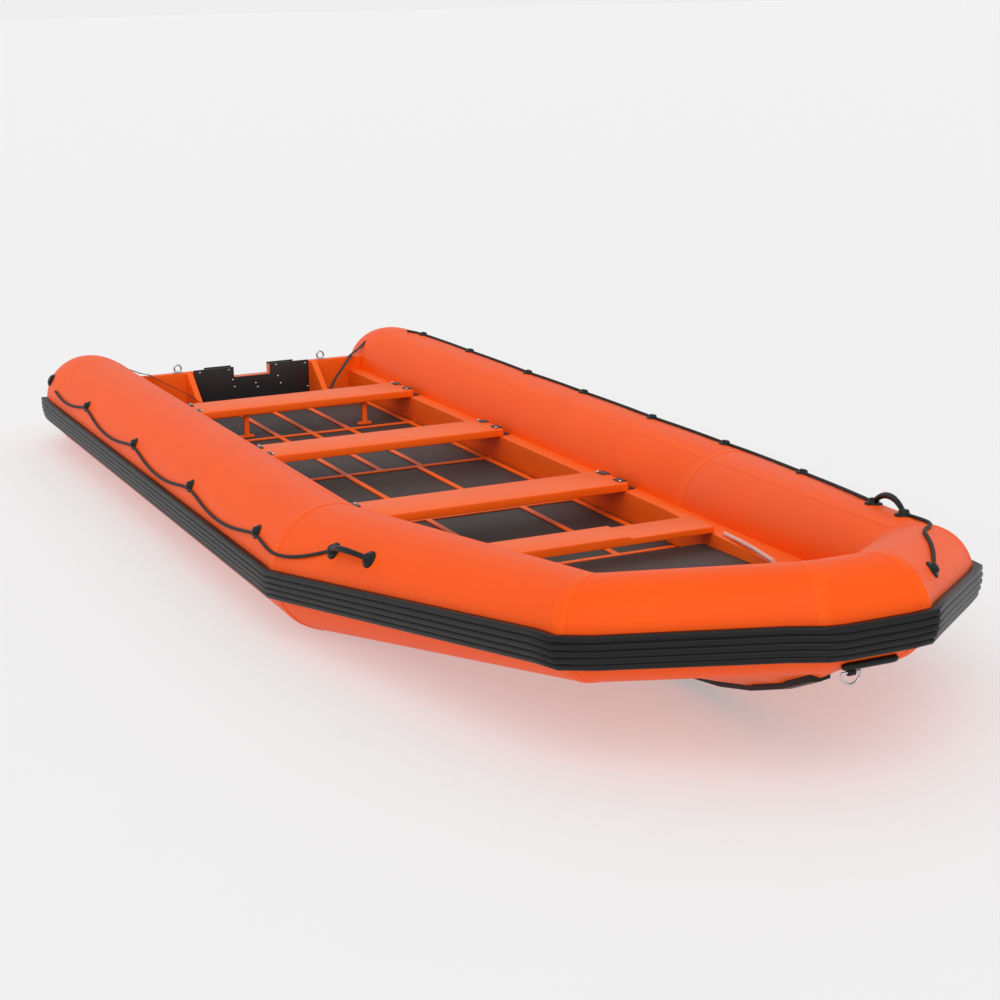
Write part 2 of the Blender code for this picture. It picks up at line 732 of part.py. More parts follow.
def add_clips(name, station, sign, top, look):
    """Two clips over a thwart's end, on one plate that is bolted to the rail."""
    thick = CLIP_THICK
    base, over = RAIL_TOP + FIT, top + FIT
    inner, outer = THWART_HALF_LENGTH + FIT, THWART_HALF_LENGTH + CLIP_FOOT
    lip = THWART_HALF_LENGTH - CLIP_LAP
    outline = [(inner, base), (outer, base), (outer, base + thick), (inner + thick, base + thick)]
    outline += [(inner + thick, over + thick), (lip, over + thick), (lip, over), (inner, over)]
    outline = [(sign * y, z) for y, z in outline]
    centre = out_to(station)
    plate = bmesh.new()
    edges = sorted((sign * inner, sign * outer))
    corner = (centre + CLIP_SPREAD, edges[1], base + 0.9 * thick)
    add_box(plate, (centre - CLIP_SPREAD, edges[0], base), corner)
    fixed = add_solid(name, plate, look)
    half = CLIP_WIDTH / 2
    for k, middle in enumerate((centre - CLIP_SPREAD + half, centre + CLIP_SPREAD - half)):
        clip = prism_object(f"{name}_{k}", outline, "X", middle - half, middle + half, look)
        combine(fixed, clip, "UNION")


def collar_skin(station, angle, lift=0.0):
    """A point over the starboard collar's skin by station and angle, which runs on through the mitres."""
    ends = [(TAIL, FORWARD, TUBE_RADIUS)] + list(MITRES)
    stations = [STERN_TIP, SHOULDER_AT[0], CHEEK_AT[0], NOSE_AT[0]]
    k = 0 if station < stations[1] else 1 if station < stations[2] else 2
    run = (SIDE, BOW, CHEEK_RUN)[k]
    height = lift if k else lift + cone_radius(station) - TUBE_RADIUS
    spans = ends[k : k + 2]
    start, end = [run.on_plane(angle, radius + height, point, normal) for point, normal, radius in spans]
    outward = run.out * math.cos(angle) + run.up * math.sin(angle)
    return start.lerp(end, (station - stations[k]) / (stations[k + 1] - stations[k])), outward, run.along


def add_boss(bm, station, angle, radius, height, sides=14):
    """A low rubber boss on the collar's skin."""
    base, normal, along = collar_skin(station, angle)
    across = normal.cross(along)
    levels = [(1.0, -BOSS_BEDDING)] + [(part, height * rise) for part, rise in BOSS_SHAPE]
    rings = []
    for part, lift in levels:
        turns = [2 * math.pi * k / sides for k in range(sides)]
        spokes = [along * math.cos(turn) + across * math.sin(turn) for turn in turns]
        rings.append([base + normal * lift + spoke * (radius * part) for spoke in spokes])
    skin_rings(bm, rings)


def rope_route(anchors, sags):
    """Points of a line laid on the collar: it is held at each anchor and sags between them."""
    lift = FIT + ROPE_RADIUS
    bends = [SHOULDER_AT[0], CHEEK_AT[0]]
    points = []
    for (s0, a0), (s1, a1), sag in zip(anchors, anchors[1:], sags):
        parts = {k / ROPE_STEPS for k in range(ROPE_STEPS)}
        parts |= {(bend - s0) / (s1 - s0) for bend in bends if s0 < bend < s1}
        for part in sorted(parts):
            angle = a0 + (a1 - a0) * part - math.radians(sag) * 4 * part * (1 - part)
            points.append(collar_skin(s0 + (s1 - s0) * part, angle, lift)[0])
    points.append(collar_skin(*anchors[-1], lift)[0])
    return points


def build_grab_lines(look, trim):
    """The lines along the side tubes, sagging between rubber holders, each up to a handle's foot."""
    for name, mirrored, anchors, sags, held in (
        ("grab_line_starboard", False, STARBOARD_LINE, STARBOARD_SAGS, STARBOARD_LINE[1:-1]),
        ("grab_line_port", True, PORT_LINE, PORT_SAGS, PORT_LINE[1:-1]),
        ("bow_line_port", True, BOW_LINE, BOW_SAGS, BOW_LINE[-1:]),
    ):
        anchors = [(station, math.radians(angle)) for station, angle in anchors]
        held = [(station, math.radians(angle)) for station, angle in held]
        bm = bmesh.new()
        add_rod(bm, rope_route(anchors, sags), ROPE_RADIUS)
        line = add_solid(name, bm, look, mirrored)
        for k, (station, angle) in enumerate(held):
            bm = bmesh.new()
            add_boss(bm, station, angle, HOLDER_RADIUS, HOLDER_HEIGHT)
            combine(line, add_solid(f"holder_{name}_{k}", bm, look, mirrored), "UNION")
        foot = anchors[-1] if anchors[-1] not in held else anchors[0]
        bm = bmesh.new()
        add_boss(bm, *foot, HANDLE_FOOT[0] + FIT, HANDLE_FOOT[1] + FIT)
        combine(line, add_solid(f"foot_trim_{name}", bm, look, mirrored), "DIFFERENCE")
        combine(line, trim, "DIFFERENCE")


def build_handles(look, trim):
    """A moulded carrying handle on each bow length, where the grab line ends."""
    for mirrored, side, (stations, degrees) in (
        (False, "starboard", STARBOARD_HANDLE),
        (True, "port", PORT_HANDLE),
    ):
        angle = math.radians(degrees)
        bm = bmesh.new()
        points = []
        for k in range(HANDLE_STEPS + 1):
            part = k / HANDLE_STEPS
            lift = HANDLE_HEIGHT * math.sin(math.pi * part) ** 0.6
            points.append(collar_skin(stations[0] + (stations[1] - stations[0]) * part, angle, lift)[0])
        add_rod(bm, points, HANDLE_RADIUS, 10)
        handle = add_solid(f"bow_handle_{side}", bm, look, mirrored)
        for k, station in enumerate(stations):
            bm = bmesh.new()
            add_boss(bm, station, angle, *HANDLE_FOOT)
            combine(handle, add_solid(f"handle_foot_{side}_{k}", bm, look, mirrored), "UNION")
        combine(handle, trim, "DIFFERENCE")


def build_valves(look, trim):
    """The inflation valve at the stern of each side tube."""
    station, degrees = VALVE_AT
    for mirrored, side in ((False, "starboard"), (True, "port")):
        bm = bmesh.new()
        add_boss(bm, station, math.radians(degrees), *VALVE_SIZE)
        combine(add_solid(f"valve_{side}", bm, look, mirrored), trim, "DIFFERENCE")


def build_tow_ring(pad_look, steel_look, trim):
    """A rubber bar across the underside of the nose, and the ring that swings in its keeper."""
    angle = math.radians(TOW_ANGLE)
    reach = BOW_RADIUS + TOW_BAR_RADIUS * TOW_BAR_SEAT
    middle = MIDDLE + Vector((reach * math.cos(angle), 0, reach * math.sin(angle)))
    bm = bmesh.new()
    add_rod(bm, [middle - ACROSS * TOW_BAR_HALF, middle + ACROSS * TOW_BAR_HALF], TOW_BAR_RADIUS, 12)
    pad = add_solid("tow_pad", bm, pad_look)
    drop = TOW_BAR_RADIUS + KEEPER_RADIUS * TOW_BAR_SEAT
    centre = middle - Vector((0, TOW_RING_AT, drop))
    half = ACROSS * (KEEPER_LENGTH / 2)
    bm = bmesh.new()
    add_rod(bm, [centre - half, centre + half], KEEPER_RADIUS, 12)
    combine(pad, add_solid("keeper", bm, pad_look), "UNION")
    bm = bmesh.new()
    add_rod(bm, [centre - half * 1.5, centre + half * 1.5], RING_BAR + RING_PLAY, 12)
    combine(pad, add_solid("keeper_bore", bm, pad_look), "DIFFERENCE")
    combine(pad, trim, "DIFFERENCE")

    points = [centre + ACROSS * RING_RADIUS]
    for k in range(RING_STEPS + 1):
        turn = math.pi * k / RING_STEPS
        fall = RING_BAR + RING_RADIUS * math.sin(turn)
        points.append(centre + Vector((0, RING_RADIUS * math.cos(turn), -fall)))
    points.append(centre - ACROSS * RING_RADIUS)
    bm = bmesh.new()
    add_closed_rod(bm, points, RING_BAR)
    add_solid("tow_ring", bm, steel_look, origin=centre)


def add_closed_rod(bm, points, radius, sides=8):
    """A round bar bent into a flat closed loop, mitred at each point."""
    count = len(points)
    plane = (points[count // 3] - points[0]).cross(points[2 * count // 3] - points[0]).normalized()
    rings = []
    for i, point in enumerate(points):
        back = (point - points[i - 1]).normalized()
        ahead = (points[(i + 1) % count] - point).normalized()
        along = (back + ahead).normalized()
        side = plane.cross(along)
        turn = [2 * math.pi * k / sides for k in range(sides)]
        rings.append([point + (side * math.cos(a) + plane * math.sin(a)) * radius for a in turn])
    skin_rings(bm, rings, loop=True)


def build_straps(look, trim):
    """A webbing strap from each stern cone over the engine board to the floor."""
    for mirrored, side in ((False, "starboard"), (True, "port")):
        rings = []
        points = [Vector((out_to(x), -y, z)) for x, y, z in STRAP_ROUTE]
        for i, point in enumerate(points):
            back = points[max(i - 1, 0)]
            ahead = points[min(i + 1, len(points) - 1)]
            along = (ahead - back).normalized()
            across = (FORWARD - along * along.x).normalized() * (STRAP_WIDTH / 2)
            out = along.cross(across).normalized() * (STRAP_THICK / 2)
            edges = (across + out, out - across, -across - out, across - out)
            rings.append([point + edge for edge in edges])
        bm = bmesh.new()
        skin_rings(bm, rings)
        combine(add_solid(f"strap_{side}", bm, look, mirrored), trim, "DIFFERENCE")


def build_posts(look):
    """The short posts that prop the aft thwart off the floor."""
    low, ankle = FLOOR_TOP + FIT, FLOOR_TOP + FIT + POST_FOOT
    wide, narrow = POST_HALF
    half_outline = [(wide, low), (wide, ankle), (narrow, ankle), (narrow, RAIL_TOP)]
    outline = half_outline + [(-b, z) for b, z in reversed(half_outline)]
    x = out_to(POST_STATION)
    for sign, side in ((-1, "starboard"), (1, "port")):
        shape = [(sign * POST_AT + b, z) for b, z in outline]
        prism_object(f"thwart_post_{side}", shape, "X", x - POST_WIDTH / 2, x + POST_WIDTH / 2, look)


def main():
    clear_scene()
    orange_skin = finish("orange coated fabric", (0.90, 0.13, 0.01), 0.42)
    orange_paint = finish("orange paint on aluminium", (0.85, 0.14, 0.02), 0.38)
    black_rubber = finish("black rubber", (0.02, 0.02, 0.02), 0.55)
    black_plate = finish("black moulded plate", (0.025, 0.025, 0.027), 0.45)
    dark_panel = finish("dark floor panel", (0.045, 0.042, 0.040), 0.6)
    black_rope = finish("black braided line", (0.015, 0.015, 0.015), 0.75)
    steel = finish("polished stainless steel", (0.75, 0.75, 0.76), 0.2, 1.0)
    trim = collar_trim(orange_skin)
    build_collar(orange_skin)
    build_strakes(black_rubber, trim)
    build_hull(orange_paint, black_rubber, trim)
    build_transom(orange_paint, black_plate, steel, trim)
    build_rails(orange_paint, trim)
    build_floor(dark_panel, orange_paint)
    build_bow_deck(orange_paint, dark_panel)
    build_thwarts(orange_paint, black_plate)
    build_posts(orange_paint)
    build_grab_lines(black_rope, trim)
    build_handles(black_rubber, trim)
    build_valves(black_rubber, trim)
    build_tow_ring(black_rubber, steel, trim)
    build_straps(black_rope, trim)

    boat = bpy.data.objects.new("boat", None)
    bpy.context.scene.collection.objects.link(boat)
    for obj in bpy.context.scene.objects:
        if obj.type == "MESH":
            obj.parent = boat


main()
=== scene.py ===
import math

import bmesh
import bpy
from mathutils import Matrix, Vector


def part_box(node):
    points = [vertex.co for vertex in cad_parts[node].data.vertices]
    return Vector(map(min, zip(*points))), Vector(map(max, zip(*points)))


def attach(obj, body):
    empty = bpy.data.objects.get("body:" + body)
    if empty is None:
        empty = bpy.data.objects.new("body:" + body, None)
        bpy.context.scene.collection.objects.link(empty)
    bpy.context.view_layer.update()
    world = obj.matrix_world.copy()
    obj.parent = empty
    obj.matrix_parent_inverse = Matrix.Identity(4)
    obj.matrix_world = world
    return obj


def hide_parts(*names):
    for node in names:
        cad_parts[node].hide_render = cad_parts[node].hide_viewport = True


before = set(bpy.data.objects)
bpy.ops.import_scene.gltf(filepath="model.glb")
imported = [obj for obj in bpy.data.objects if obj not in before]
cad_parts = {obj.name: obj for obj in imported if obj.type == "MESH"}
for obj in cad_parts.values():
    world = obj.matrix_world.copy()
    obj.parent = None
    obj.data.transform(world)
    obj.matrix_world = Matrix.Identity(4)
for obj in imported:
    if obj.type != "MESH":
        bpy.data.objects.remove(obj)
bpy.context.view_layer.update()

# %% [markdown]
# The frame is the imported boat. Its bodies, sizes and places are fixed, and this script gives it its looks.

# %% [markdown]
# The camera stands off the starboard bow, a little above the tubes, with a long lens.
# Its place and turn come from lines whose real sizes are known: the tubes, the thwarts and the strake.

# %% Camera
FOCAL_PIXELS = 1986.88
IMAGE_PIXELS = 1000
SENSOR = 36.0
TURN, TILT, ROLL = 0.42968, 0.24781, -0.022105
CAMERA_AT = Vector((7.1815, -3.07038, 2.15094))


def make_camera():
    ahead = Vector((-math.cos(TURN), math.sin(TURN), 0))
    level = Vector((math.sin(TURN), math.cos(TURN), 0))
    up = Vector((0, 0, 1))
    view = ahead * math.cos(TILT) - up * math.sin(TILT)
    head = ahead * math.sin(TILT) + up * math.cos(TILT)
    right = level * math.cos(ROLL) + head * math.sin(ROLL)
    top = head * math.cos(ROLL) - level * math.sin(ROLL)
    camera = bpy.data.objects.new("camera", bpy.data.cameras.new("camera"))
    bpy.context.scene.collection.objects.link(camera)
    camera.data.sensor_width = SENSOR
    camera.data.lens = SENSOR * FOCAL_PIXELS / IMAGE_PIXELS
    turned = Matrix((right, top, -view)).transposed().to_4x4()
    camera.matrix_world = Matrix.Translation(CAMERA_AT) @ turned
    bpy.context.scene.camera = camera
    print("camera lens", round(camera.data.lens, 2), "mm")


make_camera()

# %% [markdown]
# Every material is a small tree of nodes. One function adds a node with its settings and its links.
# Colours are written as sRGB hex values, as a paint chart gives them, and turned to linear light.


# %% Colours and nodes
def colour(hex_value):
    """The linear RGBA of an sRGB colour such as "EE6012"."""
    parts = [int(hex_value[i : i + 2], 16) / 255 for i in (0, 2, 4)]
    linear = [p / 12.92 if p <= 0.04045 else ((p + 0.055) / 1.055) ** 2.4 for p in parts]
    return (*linear, 1.0)


def add(tree, kind, settings=None, inputs=None):
    """Adds one node. An input is a value, or a socket that is linked to it."""
    made = tree.nodes.new(kind)
    for name, value in (settings or {}).items():
        setattr(made, name, value)
    for name, value in (inputs or {}).items():
        if isinstance(value, bpy.types.NodeSocket):
            tree.links.new(value, made.inputs[name])
        else:
            made.inputs[name].default_value = value
    return made


# %% [markdown]
# Most surfaces need the same three things: a slow drift of colour, a fine grain that breaks the gloss,
# and a relief that the light catches. One function makes all of them from real sizes in millimetres.
# Threads finer than a pixel would not show, so a weave is drawn as coarse as it needs to show.


# %% A finish from its real sizes
GLOSS_SPREAD = 0.06  # how far the grain moves the roughness either way
WAVE_PERIOD = 0.314  # metres between the bands of a Wave Texture at scale 1


def finish(name, light, dark, rough, grain_mm, relief_mm, weave_mm=0, cloud_mm=300, twist=0, **shader):
    """A material that drifts between two colours, with a grain, a relief and perhaps a weave."""
    material = bpy.data.materials.new(name)
    material.use_nodes = True
    tree = material.node_tree
    tree.nodes.clear()
    place = add(tree, "ShaderNodeTexCoord")
    where = place.outputs["Object"]
    drift = {"Vector": where, "Scale": 1000 / cloud_mm, "Detail": 4.0}
    clouds = add(tree, "ShaderNodeTexNoise", {}, drift)
    tint = add(
        tree,
        "ShaderNodeMix",
        {"data_type": "RGBA"},
        {"Factor": clouds.outputs["Fac"], 6: colour(dark), 7: colour(light)},
    )
    fine = {"Vector": where, "Scale": 1000 / grain_mm, "Detail": 3.0}
    grain = add(tree, "ShaderNodeTexNoise", {}, fine)
    gloss = add(
        tree,
        "ShaderNodeMapRange",
        {},
        {"Value": grain.outputs["Fac"], "To Min": rough - GLOSS_SPREAD, "To Max": rough + GLOSS_SPREAD},
    )
    height = grain.outputs["Fac"]
    if weave_mm:
        bands = []
        for turn in (twist, twist + math.pi / 2):
            laid = {"Vector": place.outputs["UV"], "Rotation": (0, 0, turn)}
            threads = add(tree, "ShaderNodeMapping", {}, laid).outputs["Vector"]
            scale = WAVE_PERIOD / (weave_mm / 1000)
            band = add(tree, "ShaderNodeTexWave", {}, {"Vector": threads, "Scale": scale})
            bands.append(band.outputs["Fac"])
        height = add(tree, "ShaderNodeMath", {"operation": "MAXIMUM"}, {0: bands[0], 1: bands[1]}).outputs[0]
    bump = add(tree, "ShaderNodeBump", {}, {"Height": height, "Strength": 0.6, "Distance": relief_mm / 1000})
    bsdf = add(
        tree,
        "ShaderNodeBsdfPrincipled",
        {},
        {
            "Base Color": tint.outputs[2],
            "Roughness": gloss.outputs["Result"],
            "Normal": bump.outputs["Normal"],
            **shader,
        },
    )
    add(tree, "ShaderNodeOutputMaterial", {}, {"Surface": bsdf.outputs["BSDF"]})
    return material


# %% [markdown]
# The real materials, by their common names. Each comment says what the eye gets from it.

# %% Materials of this boat
# Coated polyester fabric, calendered: a satin skin with broad highlights and a faint drift of orange.
coated_fabric = finish(
    "coated_fabric", "FB5A00", "F25000", 0.46, 7, 0.05, cloud_mm=420, **{"Specular IOR Level": 0.2}
)
# The same fabric as a glued tape, from another roll: a hair paler, so a joint shows as a faint band.
tape_fabric = finish(
    "tape_fabric", "FB5D02", "F45400", 0.48, 5, 0.06, cloud_mm=200, **{"Specular IOR Level": 0.2}
)
# Powder coat on aluminium plate: paler and harder than the fabric, with a fine orange peel.
powder_coat = finish(
    "powder_coat", "FB6812", "F35D0C", 0.42, 4, 0.08, cloud_mm=250, **{"Specular IOR Level": 0.25}
)
# Moulded EPDM rubber: near black, dull, with a soft grey glint on each rib.
moulded_rubber = finish(
    "moulded_rubber", "0F1010", "090A0A", 0.42, 3, 0.08, cloud_mm=160, **{"Specular IOR Level": 0.28}
)
# Non-slip decking board: warm dark grey, matt, with a gritty face.
decking_board = finish("decking_board", "37322F", "272321", 0.62, 2.5, 0.35, cloud_mm=120)
# Polyethylene plate, milled: black and even, a little glossier than rubber.
milled_plate = finish("milled_plate", "25272A", "1A1B1D", 0.40, 3, 0.05, cloud_mm=180)
# Braided polyester cord: black, matt, with the crossing strands of its braid.
braided_cord = finish("braided_cord", "121213", "0B0B0C", 0.66, 3, 0.6, weave_mm=5, twist=math.pi / 4)
# Woven nylon webbing: black with a low ribbed face.
nylon_webbing = finish("nylon_webbing", "161617", "0E0E0F", 0.60, 3, 0.4, weave_mm=3)
# Stainless steel, polished: bright, with fine marks that blur the reflection.
polished_steel = finish("polished_steel", "D2D2D4", "BDBDC0", 0.20, 2, 0.02, cloud_mm=40, Metallic=1.0)
# Painted highlight: a pale pinkish colour beside the orange, on a thin bar that stands for the shine along
# the rail's top edge.
painted_rail_highlight = finish("painted_rail_highlight", "E9B4A6", "DB9C8C", 0.45, 4, 0.04, cloud_mm=80)
print("materials", len(bpy.data.materials))


# %% [markdown]
# A long form such as a tube, strip or rope is lofted: rows of points, joined by faces from row to row.
# Writing the rows point by point keeps every size exact, and gives each face a place in metres for its
# weave.


# %% Loft rows into a mesh
CREASE = math.radians(38)  # an edge that bends more than this stays sharp


def new_piece(name, mesh, crease):
    """A linked object with its mesh shaded smooth, but for edges that bend more than the crease angle."""
    mesh.shade_smooth()
    mesh.set_sharp_from_angle(angle=crease)
    piece = bpy.data.objects.new(name, mesh)
    bpy.context.scene.collection.objects.link(piece)
    return piece


def loft(name, rows, loop=False):
    """Joins rows of points, each closed on itself. A loop joins the last row to the first, with no caps."""
    bm = bmesh.new()
    uv = bm.loops.layers.uv.new("metres")
    grid = [[bm.verts.new(point) for point in row] for row in rows]
    count = len(rows[0])
    far = [0.0]
    for a, b in zip(rows, rows[1:] + rows[:1]):
        far.append(far[-1] + (b[0] - a[0]).length)
    wide = [0.0]
    middle = rows[len(rows) // 2]
    for a, b in zip(middle, middle[1:] + middle[:1]):
        wide.append(wide[-1] + (b - a).length)
    for i in range(len(rows) if loop else len(rows) - 1):
        for j in range(count):
            i2, j2 = (i + 1) % len(rows), (j + 1) % count
            face = bm.faces.new((grid[i][j], grid[i][j2], grid[i2][j2], grid[i2][j]))
            spots = ((i, j), (i, j + 1), (i + 1, j + 1), (i + 1, j))
            for corner, (u, v) in zip(face.loops, spots):
                corner[uv].uv = (far[u], wide[v])
    if not loop:
        bm.faces.new(grid[0])
        bm.faces.new(grid[-1])
    bmesh.ops.recalc_face_normals(bm, faces=bm.faces)
    mesh = bpy.data.meshes.new(name)
    bm.to_mesh(mesh)
    bm.free()
    return new_piece(name, mesh, CREASE)


def dress(piece, material, slot, *nodes, body="boat"):
    """Gives a piece its finish and its body, and hides the frame's solids that it stands for. The slot is
    not used.
    """
    piece.data.materials.clear()
    piece.data.materials.append(material)
    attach(piece, body)
    if nodes:
        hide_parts(*nodes)
    piece.data.calc_loop_triangles()
    print(piece.name, len(piece.data.loop_triangles), "triangles")


def join(name, pieces):
    """One mesh from several, with nothing left of the single ones."""
    bm = bmesh.new()
    for piece in pieces:
        bm.from_mesh(piece.data)
        bpy.data.objects.remove(piece)
    mesh = bpy.data.meshes.new(name)
    bm.to_mesh(mesh)
    bm.free()
    joined = bpy.data.objects.new(name, mesh)
    bpy.context.scene.collection.objects.link(joined)
    return joined


# %% [markdown]
# The collar is one inflated tube of coated fabric, cut and glued at each bend, so its lengths are straight.
# Its shape follows a rule: an axis with four corners a side, a radius at each, and a mitre plane between.
# Everything that is fixed to the tube takes its place from the same rule.

# %% The collar's axis
TUBE_RADIUS, BOW_RADIUS, HALF_SPREAD = 0.225, 0.156, 0.818
TRANSOM_X = -2.59115
STATIONS = (-0.3737, 3.415, 4.93, 5.37)
CONE_START, CONE_LENGTH, CONE_POWER = 0.04, 0.42, 2.6


def at(station, off, lift=0.0):
    """A point of the axis: metres forward of the transom, off the centre plane, and sheered up."""
    return Vector((TRANSOM_X + station, -off, TUBE_RADIUS + lift))


CORNERS = (
    at(STATIONS[0], HALF_SPREAD),
    at(STATIONS[1], HALF_SPREAD),
    at(STATIONS[2], 0.575, 0.164),
    at(STATIONS[3], 0.106, 0.247),
    at(STATIONS[3], 0, 0.247),
)
RADII = (TUBE_RADIUS, TUBE_RADIUS, BOW_RADIUS, BOW_RADIUS, BOW_RADIUS)
ALONG = [(b - a).normalized() for a, b in zip(CORNERS, CORNERS[1:])]
OUT = [Vector((a.y, -a.x, 0)).normalized() for a in ALONG]
UP = [o.cross(a) for o, a in zip(OUT, ALONG)]
MITRES = [(a + b).normalized() for a, b in zip(ALONG, ALONG[1:])]
NORMALS = [Vector((1, 0, 0)), *MITRES, Vector((0, 1, 0))]


def rim(k, end, angle, lift=0.0, scaled=False):
    """Where a line of the skin meets the mitre plane at one end of a length."""
    corner = k + end
    if scaled:
        angle *= TUBE_RADIUS / RADII[corner]
    reach = OUT[k] * math.cos(angle) + UP[k] * math.sin(angle)
    foot = CORNERS[k] + reach * (RADII[corner] + lift)
    normal = NORMALS[corner]
    return foot + ALONG[k] * ((CORNERS[corner] - foot).dot(normal) / ALONG[k].dot(normal))


def cone_drop(station):
    """How far the tapered stern lies inside the full tube."""
    back = max(0.0, (CONE_START - station) / CONE_LENGTH)
    return TUBE_RADIUS * (1 - math.sqrt(max(0.0, 1 - back**CONE_POWER)))


def skin(station, angle, lift=0.0):
    """A point over the starboard tube by station and angle, with the directions outward and along."""
    k = 0 if station < STATIONS[1] else 1 if station < STATIONS[2] else 2
    height = lift - (cone_drop(station) if k == 0 else 0)
    part = (station - STATIONS[k]) / (STATIONS[k + 1] - STATIONS[k])
    point = rim(k, 0, angle, height).lerp(rim(k, 1, angle, height), part)
    return point, OUT[k] * math.cos(angle) + UP[k] * math.sin(angle), ALONG[k]


def mirrored(rows):
    """The same rows on the port side."""
    return [[Vector((p.x, -p.y, p.z)) for p in row] for row in rows]


def collar_rows(profile, first, step=0.045, scaled=False):
    """A profile of angles and lifts, run round the whole collar from one stern to the other."""
    rows = []
    for k in range(4):
        length = (CORNERS[k + 1] - CORNERS[k]).length
        count = max(3, round(length / step))
        parts = [i / count for i in range(1, count + 1)]
        if k == 0:
            ends = [CONE_START - (CONE_START - first) * math.cos(math.pi / 2 * i / 16) for i in range(17)]
            cone = [(s - STATIONS[0]) / (STATIONS[1] - STATIONS[0]) for s in ends]
            parts = cone + [p for p in parts if p > cone[-1] + 0.004]
        for part in parts:
            drop = cone_drop(STATIONS[0] + part * (STATIONS[1] - STATIONS[0])) if k == 0 else 0
            row = []
            for angle, lift in profile:
                a = rim(k, 0, angle, lift - drop, scaled)
                b = rim(k, 1, angle, lift - drop, scaled)
                point = a.lerp(b, part)
                if part == 1 and k < 3:
                    point = (point + rim(k + 1, 0, angle, lift, scaled)) / 2
                row.append(point)
            rows.append(row)
    return rows + mirrored(reversed(rows[:-1]))


# %% Make the collar
AROUND = [2 * math.pi * i / 96 for i in range(96)]
SIDES = ("starboard", "port")
TUBES = [f"tube_{length}_{side}" for length in ("side", "bow", "cheek") for side in SIDES] + ["tube_nose"]
collar = loft("collar", collar_rows([(angle, 0.0) for angle in AROUND], -0.3799))
dress(collar, coated_fabric, "collar", *TUBES)

# %% [markdown]
# Where two lengths of tube meet, a tape is glued over the joint. It stands a millimetre proud.
# The same tape, much longer, covers the lap that runs along the inner side of the tube.

# %% Seam tapes
TAPE_EDGES = ((-0.026, -0.001), (-0.0245, 0.0013), (0.0, 0.0015), (0.0245, 0.0013), (0.026, -0.001))


def mitre_tape(corner):
    rows = []
    for far, lift in TAPE_EDGES:
        row = []
        for angle in AROUND:
            behind = rim(corner - 1, 1, angle, lift)
            ahead = rim(corner, 0, angle, lift)
            shift = ALONG[corner - 1] * far if far < 0 else ALONG[corner] * far
            base = behind if far < 0 else ahead if far > 0 else (behind + ahead) / 2
            row.append(base + shift)
        rows.append(row)
    return rows


def stern_tape(station):
    return [[skin(station + far, angle, lift)[0] for angle in AROUND] for far, lift in TAPE_EDGES]


tapes = []
for rows in [mitre_tape(corner) for corner in (1, 2, 3)] + [stern_tape(0.075)]:
    tapes.append(loft("tape", rows, loop=True))
    tapes.append(loft("tape", mirrored(rows), loop=True))
LAP_AT = math.radians(112)
LAP_EDGES = ((-4, -0.001), (-3.8, 0.001), (3.8, 0.001), (4, -0.001))
LAP = [(LAP_AT + math.radians(off), lift) for off, lift in LAP_EDGES]
tapes.append(loft("tape", collar_rows(LAP, 0.1)))
dress(join("seam_tapes", tapes), tape_fabric, "collar")

# %% [markdown]
# The rub strake is an extruded rubber profile with five rounded ribs, glued round the tube at its widest.
# Its width stays the same on the thinner bow tube, so its angles grow there.

# %% Rub strake
STRAKE_TOP, STRAKE_FOOT = math.radians(6.4), math.radians(-17.6)
STRAKE_DEPTH, STRAKE_GROOVE, RIBS = 0.030, 0.012, 5


def strake_profile():
    profile = [(STRAKE_FOOT, -0.003), (STRAKE_FOOT, STRAKE_DEPTH - STRAKE_GROOVE - 0.004)]
    for rib in range(RIBS):
        for i in range(9):
            across = 0.04 + 0.92 * i / 8
            rise = math.sqrt(max(0.0, 1 - abs(2 * across - 1) ** 4))
            angle = STRAKE_FOOT + (STRAKE_TOP - STRAKE_FOOT) * (rib + across) / RIBS
            profile.append((angle, STRAKE_DEPTH - STRAKE_GROOVE * (1 - rise)))
    return profile + [(STRAKE_TOP, STRAKE_DEPTH - STRAKE_GROOVE - 0.004), (STRAKE_TOP, -0.003)]


strake = loft("rub_strake", collar_rows(strake_profile(), -0.12, 0.09, scaled=True))
dress(strake, moulded_rubber, "rubber", "strake_starboard", "strake_port")

# %% [markdown]
# Ropes, handles, bars and straps are a section swept along a route. Each row is turned to face along it.


# %% Sweep a section along a route
def sweep(name, points, radius, sides=10, loop=False):
    """A round bar along the points. The radius is one number, or one for each point."""
    radii = radius if isinstance(radius, list) else [radius] * len(points)
    first = (points[1] - points[-1] if loop else points[1] - points[0]).normalized()
    side = Vector((1, 0, 0)) if abs(first.z) > 0.9 else Vector((0, 0, 1))
    rows = []
    for i, point in enumerate(points):
        back = points[i - 1] if i or loop else point
        ahead = points[(i + 1) % len(points)] if loop or i + 1 < len(points) else point
        along = (ahead - back).normalized()
        side = (side - along * side.dot(along)).normalized()
        other = along.cross(side)
        turns = [2 * math.pi * k / sides for k in range(sides)]
        rows.append([point + (side * math.cos(t) + other * math.sin(t)) * radii[i] for t in turns])
    return loft(name, rows, loop=loop)


def flip(points):
    return [Vector((p.x, -p.y, p.z)) for p in points]


# %% [markdown]
# The grab lines are held all along, in rubber holders, and sag a little between them.
# Their routes repeat the anchors of the frame: a station, and degrees above the tube's outer side.

